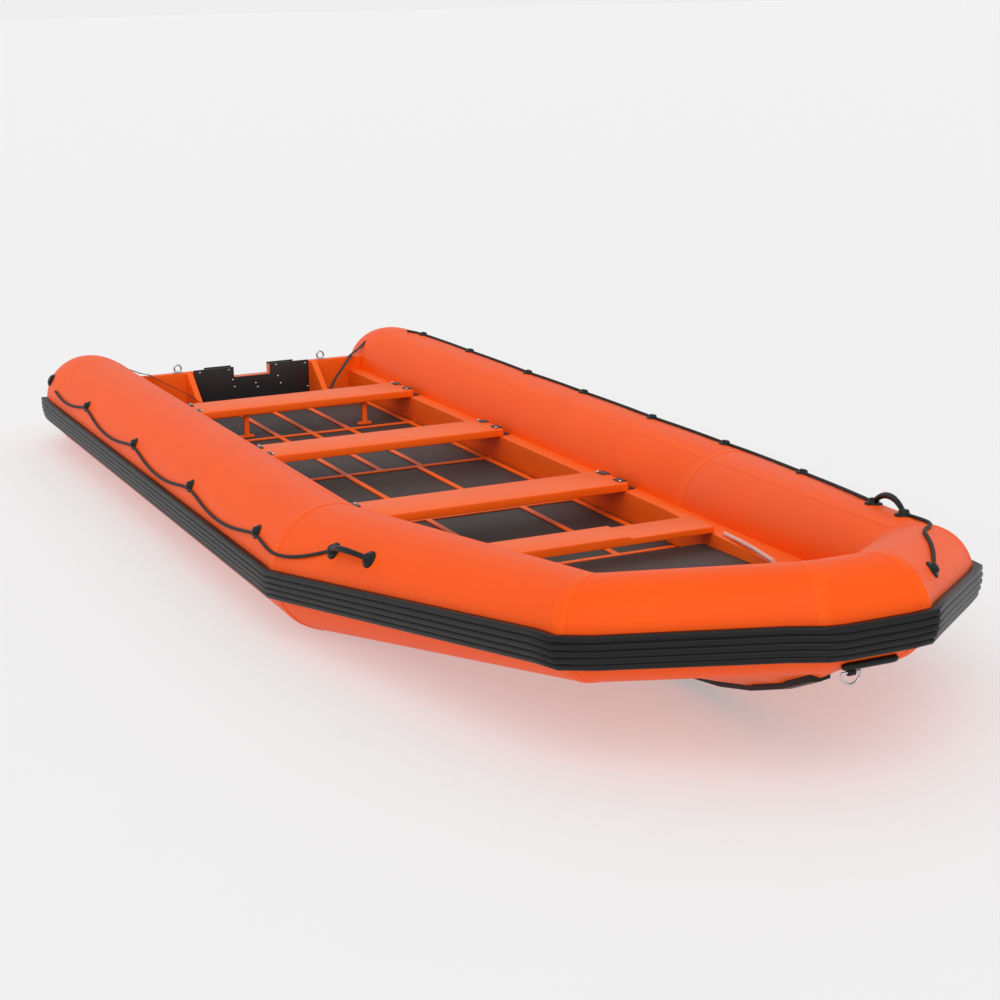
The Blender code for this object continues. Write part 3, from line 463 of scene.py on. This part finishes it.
# %% Grab lines
ROPE_RADIUS = 0.006
ROPE_LIFT = ROPE_RADIUS + 0.0008  # the rope's axis over the skin, clear of it where the curve is eased
ROPE_STEPS = 20
EASINGS = 8
STARBOARD_HANDLE, PORT_HANDLE = ((3.76, 3.97), 36), ((4.59, 4.80), 84)
STARBOARD_LINE = ((0.086, 22), (0.68, 30), (1.546, 27), (2.394, 26), (3.211, 28), (3.76, 36))
STARBOARD_SAGS = (8, 13, 13, 13, 12)
PORT_LINE = (
    (0.148, 88), (0.274, 78), (0.855, 76), (1.546, 79), (2.09, 76),
    (2.724, 78), (3.29, 76), (3.965, 75), (4.59, 84),
)
PORT_SAGS = (2, 3, 3, 3, 3, 3, 3, 2)
BOW_LINE = ((4.80, 84), (5.056, 78), (5.262, 38))
BOW_SAGS = (3, 3)


def rope_route(anchors, sags):
    """Points of a line on the skin that sags between its anchors, with its bends eased."""
    points = []
    for (s0, a0), (s1, a1), sag in zip(anchors, anchors[1:], sags):
        for i in range(ROPE_STEPS):
            part = i / ROPE_STEPS
            angle = a0 + (a1 - a0) * part - sag * 4 * part * (1 - part)
            points.append(skin(s0 + (s1 - s0) * part, math.radians(angle), ROPE_LIFT)[0])
    points.append(skin(anchors[-1][0], math.radians(anchors[-1][1]), ROPE_LIFT)[0])
    for _ in range(EASINGS):
        inner = [(a + b * 2 + c) / 4 for a, b, c in zip(points, points[1:], points[2:])]
        points = [points[0]] + inner + [points[-1]]
    return points


for node, anchors, sags, port in (
    ("grab_line_starboard", STARBOARD_LINE, STARBOARD_SAGS, False),
    ("grab_line_port", PORT_LINE, PORT_SAGS, True),
    ("bow_line_port", BOW_LINE, BOW_SAGS, True),
):
    route = rope_route(anchors, sags)
    length = sum((b - a).length for a, b in zip(route, route[1:]))
    rope = sweep(f"rope_{node}", flip(route) if port else route, ROPE_RADIUS)
    dress(rope, braided_cord, "line", node)
    print(node, round(length, 2), "m")

# %% [markdown]
# Each bow handle is a moulded rubber grip, thicker in its middle, that arches between two feet.

# %% Handles
HANDLE_HEIGHT, GRIP_RADIUS, GRIP_SWELL, GRIP_RIB = 0.045, 0.0085, 0.002, 0.0008
for node, (stations, degrees), port in (
    ("bow_handle_starboard", STARBOARD_HANDLE, False),
    ("bow_handle_port", PORT_HANDLE, True),
):
    points, radii = [], []
    for i in range(33):
        part = i / 32
        lift = HANDLE_HEIGHT * math.sin(math.pi * part) ** 0.6
        station = stations[0] + (stations[1] - stations[0]) * part
        points.append(skin(station, math.radians(degrees), lift)[0])
        ribbed = GRIP_RIB * math.cos(part * 24 * math.pi) if 0.25 < part < 0.75 else 0
        radii.append(GRIP_RADIUS + GRIP_SWELL * math.sin(math.pi * part) + ribbed)
    grip = sweep(f"grip_{node}", flip(points) if port else points, radii, 14)
    dress(grip, moulded_rubber, "rubber", node)

# %% [markdown]
# Holders, feet, valves and bolts repeat, so Geometry Nodes set one shape on a list of spots.
# Each spot carries the way it faces and the way it heads. The seed is fixed, and the result is a plain mesh.


# %% A tree that sets a shape on spots
def spots_tree():
    tree = bpy.data.node_groups.new("set_on_spots", "GeometryNodeTree")
    face = tree.interface
    face.new_socket(name="Geometry", in_out="INPUT", socket_type="NodeSocketGeometry")
    face.new_socket(name="Shape", in_out="INPUT", socket_type="NodeSocketObject")
    face.new_socket(name="Size", in_out="INPUT", socket_type="NodeSocketFloat")
    face.new_socket(name="Random turn", in_out="INPUT", socket_type="NodeSocketFloat")
    face.new_socket(name="Finish", in_out="INPUT", socket_type="NodeSocketMaterial")
    face.new_socket(name="Geometry", in_out="OUTPUT", socket_type="NodeSocketGeometry")
    given = add(tree, "NodeGroupInput").outputs
    vector = {"data_type": "FLOAT_VECTOR"}
    facing = add(tree, "GeometryNodeInputNamedAttribute", vector, {"Name": "facing"})
    heading = add(tree, "GeometryNodeInputNamedAttribute", vector, {"Name": "heading"})
    stood = add(
        tree, "FunctionNodeAlignRotationToVector", {"axis": "Z"}, {"Vector": facing.outputs["Attribute"]}
    )
    headed = add(
        tree,
        "FunctionNodeAlignRotationToVector",
        {"axis": "X", "pivot_axis": "Z"},
        {"Rotation": stood.outputs["Rotation"], "Vector": heading.outputs["Attribute"]},
    )
    chance = add(tree, "FunctionNodeRandomValue", {"data_type": "FLOAT"}, {"Seed": 7})
    highest = [s for s in chance.inputs if s.name == "Max" and s.type == "VALUE"][0]
    tree.links.new(given["Random turn"], highest)
    drawn = [s for s in chance.outputs if s.type == "VALUE"][0]
    spin = add(tree, "FunctionNodeAxisAngleToRotation", {}, {"Axis": (0, 0, 1), "Angle": drawn})
    turned = add(
        tree,
        "FunctionNodeRotateRotation",
        {"rotation_space": "LOCAL"},
        {"Rotation": headed.outputs["Rotation"], "Rotate By": spin.outputs["Rotation"]},
    )
    shape = add(tree, "GeometryNodeObjectInfo", {}, {"Object": given["Shape"]})
    copies = add(
        tree,
        "GeometryNodeInstanceOnPoints",
        {},
        {
            "Points": given["Geometry"],
            "Instance": shape.outputs["Geometry"],
            "Rotation": turned.outputs["Rotation"],
            "Scale": given["Size"],
        },
    )
    real = add(tree, "GeometryNodeRealizeInstances", {}, {"Geometry": copies.outputs["Instances"]})
    coated = {"Geometry": real.outputs["Geometry"], "Material": given["Finish"]}
    done = add(tree, "GeometryNodeSetMaterial", {}, coated)
    add(tree, "NodeGroupOutput", {}, {"Geometry": done.outputs["Geometry"]})
    return tree


SPOTS = spots_tree()


def scatter(name, spots, shape, size, material, slot, nodes=(), random_turn=0.0):
    """Sets a shape on spots, each a point with the directions it faces and heads in."""
    mesh = bpy.data.meshes.new(name)
    mesh.from_pydata([point for point, _, _ in spots], [], [])
    for key, column in (("facing", 1), ("heading", 2)):
        values = mesh.attributes.new(key, "FLOAT_VECTOR", "POINT").data
        for value, spot in zip(values, spots):
            value.vector = spot[column]
    carrier = bpy.data.objects.new(name, mesh)
    bpy.context.scene.collection.objects.link(carrier)
    modifier = carrier.modifiers.new("spots", "NODES")
    modifier.node_group = SPOTS
    values = {"Shape": shape, "Size": float(size), "Random turn": float(random_turn), "Finish": material}
    for item in SPOTS.interface.items_tree:
        if item.item_type == "SOCKET" and item.in_out == "INPUT" and item.name in values:
            modifier[item.identifier] = values[item.name]
    carrier.update_tag()
    graph = bpy.context.evaluated_depsgraph_get()
    made = bpy.data.meshes.new_from_object(carrier.evaluated_get(graph))
    bpy.data.objects.remove(carrier)
    piece = new_piece(name, made, CREASE)
    dress(piece, material, slot, *nodes)


# %% Turned shapes to set
def turned(name, profile, sides):
    """A turned shape about Z from radii and heights, closed at both ends."""
    turns = [2 * math.pi * k / sides for k in range(sides)]
    rows = [[Vector((r * math.cos(t), r * math.sin(t), h)) for t in turns] for r, h in profile]
    return loft(name, rows)


HOLDER = (
    (1, -0.1), (1, 0.1), (0.94, 0.2), (0.74, 0.26), (0.62, 0.34), (0.56, 0.6), (0.44, 0.71), (0.2, 0.74)
)
holder_shape = turned("holder_shape", HOLDER, 24)
VALVE = (
    (1, -0.1), (1, 0.12), (0.93, 0.2), (0.72, 0.2), (0.7, 0.36),
    (0.62, 0.43), (0.3, 0.43), (0.26, 0.36), (0.05, 0.36),
)
valve_shape = turned("valve_shape", VALVE, 24)
BOLT = ((1, -0.1), (1, 0.15), (0.85, 0.42), (0.5, 0.58), (0.12, 0.62))
bolt_shape = turned("bolt_shape", BOLT, 10)
print("shapes ready")


# %% Set the holders, feet and valves
def on_skin(anchors, port, lift=0.0):
    spots = []
    for station, degrees in anchors:
        spot = skin(station, math.radians(degrees), lift)
        spots.append(tuple(flip(spot)) if port else spot)
    return spots


held = on_skin(STARBOARD_LINE[1:-1], False) + on_skin(PORT_LINE[1:-1], True) + on_skin(BOW_LINE[-1:], True)
feet = on_skin([(s, STARBOARD_HANDLE[1]) for s in STARBOARD_HANDLE[0]], False)
feet += on_skin([(s, PORT_HANDLE[1]) for s in PORT_HANDLE[0]], True)
HOLDER_RADIUS, FOOT_RADIUS, VALVE_RADIUS = 0.027, 0.030, 0.032
VALVES_AT = [(-0.10, 30)]
scatter("rope_holders", held, holder_shape, HOLDER_RADIUS, moulded_rubber, "rubber")
scatter("handle_feet", feet, holder_shape, FOOT_RADIUS, moulded_rubber, "rubber")
valves = on_skin(VALVES_AT, False) + on_skin(VALVES_AT, True)
valve_nodes = ("valve_starboard", "valve_port")
scatter("valve_caps", valves, valve_shape, VALVE_RADIUS, moulded_rubber, "rubber", valve_nodes)

# %% [markdown]
# Under each holder an oval patch of the collar's fabric is glued on. It follows the round of the tube,
# so it is lofted on the skin and not set as a flat disc.

# %% Patches
PATCH_LONG, PATCH_WIDE = 0.060, 0.048  # half sizes
PATCH_RINGS = ((1.0, -0.001), (0.97, 0.0010), (0.5, 0.0013), (0.04, 0.0013))


def patch(station, degrees, port):
    rows = []
    for size, lift in PATCH_RINGS:
        row = []
        for k in range(32):
            turn = 2 * math.pi * k / 32
            along, across = PATCH_LONG * size * math.cos(turn), PATCH_WIDE * size * math.sin(turn)
            row.append(skin(station + along, math.radians(degrees) + across / TUBE_RADIUS, lift)[0])
        rows.append(row)
    return loft("patch", mirrored(rows) if port else rows)


patches = [patch(*anchor, False) for anchor in STARBOARD_LINE[1:-1]]
patches += [patch(*anchor, True) for anchor in PORT_LINE[1:-1] + BOW_LINE[-1:]]
patches += [patch(s, STARBOARD_HANDLE[1], False) for s in STARBOARD_HANDLE[0]]
patches += [patch(s, PORT_HANDLE[1], True) for s in PORT_HANDLE[0]]
dress(join("holder_patches", patches), tape_fabric, "collar")

# %% [markdown]
# Planks, rails, plates and the hull have the right shapes in the frame, but their edges are knife sharp.
# A copy is merged, its flat faces are joined, and a bevel rounds each edge as a folded sheet's edge is.


# %% Round the edges of a frame solid
PLATE_CREASE = math.radians(32)
BEVELLED_ABOVE = math.radians(28)
BEVEL_SEGMENTS = 3


def soften(node, width, material, slot):
    """Stands a merged copy with rounded edges for a solid of the frame."""
    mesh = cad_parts[node].data.copy()
    bm = bmesh.new()
    bm.from_mesh(mesh)
    bmesh.ops.remove_doubles(bm, verts=bm.verts, dist=0.00002)
    bmesh.ops.dissolve_limit(bm, angle_limit=math.radians(1), verts=bm.verts, edges=bm.edges)
    bm.to_mesh(mesh)
    bm.free()
    rough = bpy.data.objects.new(node, mesh)
    bpy.context.scene.collection.objects.link(rough)
    bevel = rough.modifiers.new("edges", "BEVEL")
    bevel.width = width
    bevel.segments = BEVEL_SEGMENTS
    bevel.limit_method = "ANGLE"
    bevel.angle_limit = BEVELLED_ABOVE
    graph = bpy.context.evaluated_depsgraph_get()
    made = bpy.data.meshes.new_from_object(rough.evaluated_get(graph))
    bpy.data.objects.remove(rough)
    dress(new_piece(f"{node}_eased", made, PLATE_CREASE), material, slot, node)


# %% Planks, rails, plates and hull
for node, width, material, slot in (
    ("thwart_1", 0.005, powder_coat, "hull_paint"),
    ("thwart_2", 0.005, powder_coat, "hull_paint"),
    ("thwart_3", 0.005, powder_coat, "hull_paint"),
    ("thwart_bow", 0.003, powder_coat, "hull_paint"),
    ("transom_board", 0.003, powder_coat, "hull_paint"),
    ("floor_frame", 0.0015, powder_coat, "hull_paint"),
    ("bow_locker", 0.002, powder_coat, "hull_paint"),
    ("hull_bottom", 0.002, powder_coat, "hull_paint"),
    ("floor_panels", 0.001, decking_board, "panel"),
    ("bow_panel", 0.002, decking_board, "panel"),
    ("motor_plate_inner", 0.002, milled_plate, "plate"),
    ("motor_plate_outer", 0.002, milled_plate, "plate"),
    ("keel_guard", 0.002, moulded_rubber, "rubber"),
):
    soften(node, width, material, slot)
for side in SIDES:
    soften(f"rail_{side}", 0.003, powder_coat, "hull_paint")
    soften(f"knee_{side}", 0.003, powder_coat, "hull_paint")
    soften(f"thwart_post_{side}", 0.002, powder_coat, "hull_paint")
    for k in (1, 2, 3):
        soften(f"thwart_clips_{k}_{side}", 0.001, milled_plate, "plate")

# %% [markdown]
# The tow bar is a moulded rubber bar under the nose, with round ends and a keeper for the ring.
# The ring is polished bar, bent to a D and welded. It swings about the straight side, in the keeper.

# %% Tow bar and ring
TOW_ANGLE = math.radians(-44)
TOW_BAR_HALF, TOW_BAR_RADIUS, KEEPER_HALF, KEEPER_RADIUS, SEAT = 0.092, 0.012, 0.013, 0.010, 0.6
RING_BAR, RING_RADIUS = 0.004, 0.031
ACROSS = Vector((0, 1, 0))
reach = BOW_RADIUS + TOW_BAR_RADIUS * SEAT
middle = CORNERS[4] + Vector((reach * math.cos(TOW_ANGLE), 0, reach * math.sin(TOW_ANGLE)))
centre = middle - Vector((0, 0.062, TOW_BAR_RADIUS + KEEPER_RADIUS * SEAT))


def capsule(name, centre, half, radius):
    """A round bar across the boat, with rounded ends."""
    points, radii = [], []
    for i in range(25):
        part = i / 12 - 1
        points.append(centre + ACROSS * (half * math.sin(part * math.pi / 2)))
        radii.append(radius * max(0.15, 1 - abs(math.sin(part * math.pi / 2)) ** 18) ** 0.5)
    return sweep(name, points, radii, 20)


long_bar = capsule("bar", middle, TOW_BAR_HALF, TOW_BAR_RADIUS)
keeper = capsule("keeper", centre, KEEPER_HALF, KEEPER_RADIUS)
bar = join("tow_bar", [long_bar, keeper])
dress(bar, moulded_rubber, "rubber", "tow_pad")
points = [centre + ACROSS * RING_RADIUS]
for k in range(37):
    turn = math.pi * k / 36
    fall = RING_BAR + RING_RADIUS * math.sin(turn)
    points.append(centre + Vector((0, RING_RADIUS * math.cos(turn), -fall)))
points.append(centre - ACROSS * RING_RADIUS)
ring = sweep("steel_ring", points, RING_BAR, 14, loop=True)
dress(ring, polished_steel, "steel", "tow_ring", body="tow_ring")

# %% [markdown]
# A lifting eye is a forged ring on a small base, bolted to the top of the transom.

# %% Lifting eyes
EYE_AT, EYE_RADIUS, EYE_BAR, EYE_FOOT = 0.385, 0.018, 0.0045, 0.326
for side, sign in zip(SIDES, (-1, 1)):
    eye = Vector((TRANSOM_X, sign * EYE_AT, EYE_FOOT + 0.023))
    turns = [2 * math.pi * k / 40 for k in range(40)]
    points = [eye + Vector((0, math.cos(t), math.sin(t))) * EYE_RADIUS for t in turns]
    loop = sweep("loop", points, EYE_BAR, 12, loop=True)
    corners = ((-1, -1), (1, -1), (1, 1), (-1, 1))
    rows = []
    for inset, height in ((0, 0.0), (0, 0.0035), (0.0015, 0.005)):
        rows.append([
            Vector((TRANSOM_X + sx * (0.015 - inset), eye.y + sy * (0.022 - inset), EYE_FOOT + height))
            for sx, sy in corners
        ])
    dress(join(f"eye_{side}", [loop, loft("foot", rows)]), polished_steel, "steel", f"lifting_eye_{side}")

# %% [markdown]
# A webbing strap on each side drops from the tube to the floor at the transom, flat and a little curved.

# %% Straps
STRAP_ROUTE = (
    (-0.08, 0.700, 0.405), (-0.035, 0.625, 0.362), (-0.005, 0.575, 0.341), (0.030, 0.545, 0.338),
    (0.09, 0.49, 0.303), (0.19, 0.395, 0.250), (0.27, 0.33, 0.198), (0.295, 0.27, 0.1485),
    (0.30, 0.235, 0.1428), (0.303, 0.205, 0.1428),
)
STRAP_HALF, STRAP_THICK = 0.012, 0.003
for side, sign in zip(SIDES, (-1, 1)):
    route = [Vector((TRANSOM_X + s, sign * off, z)) for s, off, z in STRAP_ROUTE]
    rows = []
    for i, point in enumerate(route):
        along = (route[min(i + 1, len(route) - 1)] - route[max(i - 1, 0)]).normalized()
        width = Vector((1, 0, 0))
        width = (width - along * along.x).normalized()
        face = width.cross(along)
        rows.append([
            point + width * (STRAP_HALF * w) + face * (STRAP_THICK / 2 * f)
            for w, f in ((-1, 0), (-0.9, 1), (0, 1.0), (0.9, 1), (1, 0), (0.9, -1), (0, -1.0), (-0.9, -1))
        ])
    dress(loft(f"webbing_{side}", rows), nylon_webbing, "line", f"strap_{side}")

# %% [markdown]
# Bolts hold the motor plate and the thwarts, and rivets the floor. The plate's bolts are where they are
# seen on the real boat, and the others are spaced evenly.

# %% Bolts, rivets and a painted highlight on the rail
FULL_TURN = 6.28
FORE, UPWARD = Vector((1, 0, 0)), Vector((0, 0, 1))
PLATE_BOLTS = (
    (-0.277, 0.32), (-0.123, 0.321), (-0.105, 0.267), (-0.096, 0.229), (0.018, 0.239), (0.027, 0.217),
    (0.131, 0.323), (0.139, 0.264), (0.153, 0.225), (0.29, 0.318), (0.301, 0.194),
)
plate_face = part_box("motor_plate_inner")[1].x
scatter(
    "plate_bolts", [(Vector((plate_face, y, z)), FORE, UPWARD) for y, z in PLATE_BOLTS],
    bolt_shape, 0.006, polished_steel, "steel", random_turn=FULL_TURN,
)
spots = []
for k in (1, 2, 3):
    low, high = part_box(f"thwart_{k}")
    for x in (low.x + 0.026, high.x - 0.026):
        for y in (-0.52, 0.52):
            spots.append((Vector((x, y, high.z + 0.004)), UPWARD, FORE))
scatter("thwart_bolts", spots, bolt_shape, 0.007, polished_steel, "steel", random_turn=FULL_TURN)
spots = []
frame_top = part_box("floor_frame")[1].z
for station in (0.34, 0.93, 1.83, 2.70, 3.53):
    for i in range(-5, 6):
        spots.append((Vector((TRANSOM_X + station, i * 0.085 + 0.03, frame_top)), UPWARD, FORE))
scatter("floor_rivets", spots, bolt_shape, 0.004, powder_coat, "hull_paint", random_turn=FULL_TURN)
# A thin pale bar along the top of the port rail towards the bow is a painted highlight: it stands for the
# shine on the rail's edge.
highlight_points = [(3.95, 0.468, 0.298), (4.1, 0.436, 0.312), (4.25, 0.398, 0.327), (4.48, 0.33, 0.349)]
highlight_route = [Vector((TRANSOM_X + s, y, z)) for s, y, z in highlight_points]
dress(sweep("rail_trim", highlight_route, 0.008, 10), painted_rail_highlight, "collar")
for shape in (holder_shape, valve_shape, bolt_shape):
    bpy.data.objects.remove(shape)

# %% [markdown]
# A studio floor and soft light. The floor is pale and plain, and a wide sun gives soft shadows.


# %% Floor and light
def make_stage():
    bm = bmesh.new()
    bmesh.ops.create_grid(bm, x_segments=1, y_segments=1, size=400)
    mesh = bpy.data.meshes.new("studio_floor")
    bm.to_mesh(mesh)
    bm.free()
    floor = bpy.data.objects.new("studio_floor", mesh)
    bpy.context.scene.collection.objects.link(floor)
    # A little light of its own keeps the shadow on the floor as pale as a studio's many lamps make it.
    glow = {"Emission Color": (1, 1, 1, 1), "Emission Strength": 0.37, "Specular IOR Level": 0.1}
    floor.data.materials.append(finish("studio_paint", "BDBDBD", "BBBBBB", 0.7, 40, 0.01, **glow))
    sun = bpy.data.objects.new("soft_sun", bpy.data.lights.new("soft_sun", "SUN"))
    bpy.context.scene.collection.objects.link(sun)
    sun.data.energy = 1.15
    sun.data.angle = math.radians(60)
    sun.rotation_euler = Vector((-0.62, 0.36, -0.70)).to_track_quat("-Z", "Y").to_euler()
    world = bpy.data.worlds.new("studio")
    bpy.context.scene.world = world
    world.use_nodes = True
    tree = world.node_tree
    tree.nodes.clear()
    ray = add(tree, "ShaderNodeLightPath")
    lit = add(tree, "ShaderNodeBackground", {}, {"Color": (1, 1, 1, 1), "Strength": 0.74})
    seen = add(tree, "ShaderNodeBackground", {}, {"Color": (0.86, 0.86, 0.865, 1), "Strength": 1.0})
    mixed = add(
        tree,
        "ShaderNodeMixShader",
        {},
        {0: ray.outputs["Is Camera Ray"], 1: lit.outputs["Background"], 2: seen.outputs["Background"]},
    )
    add(tree, "ShaderNodeOutputWorld", {}, {"Surface": mixed.outputs["Shader"]})
    bpy.context.scene.view_settings.view_transform = "Standard"


make_stage()
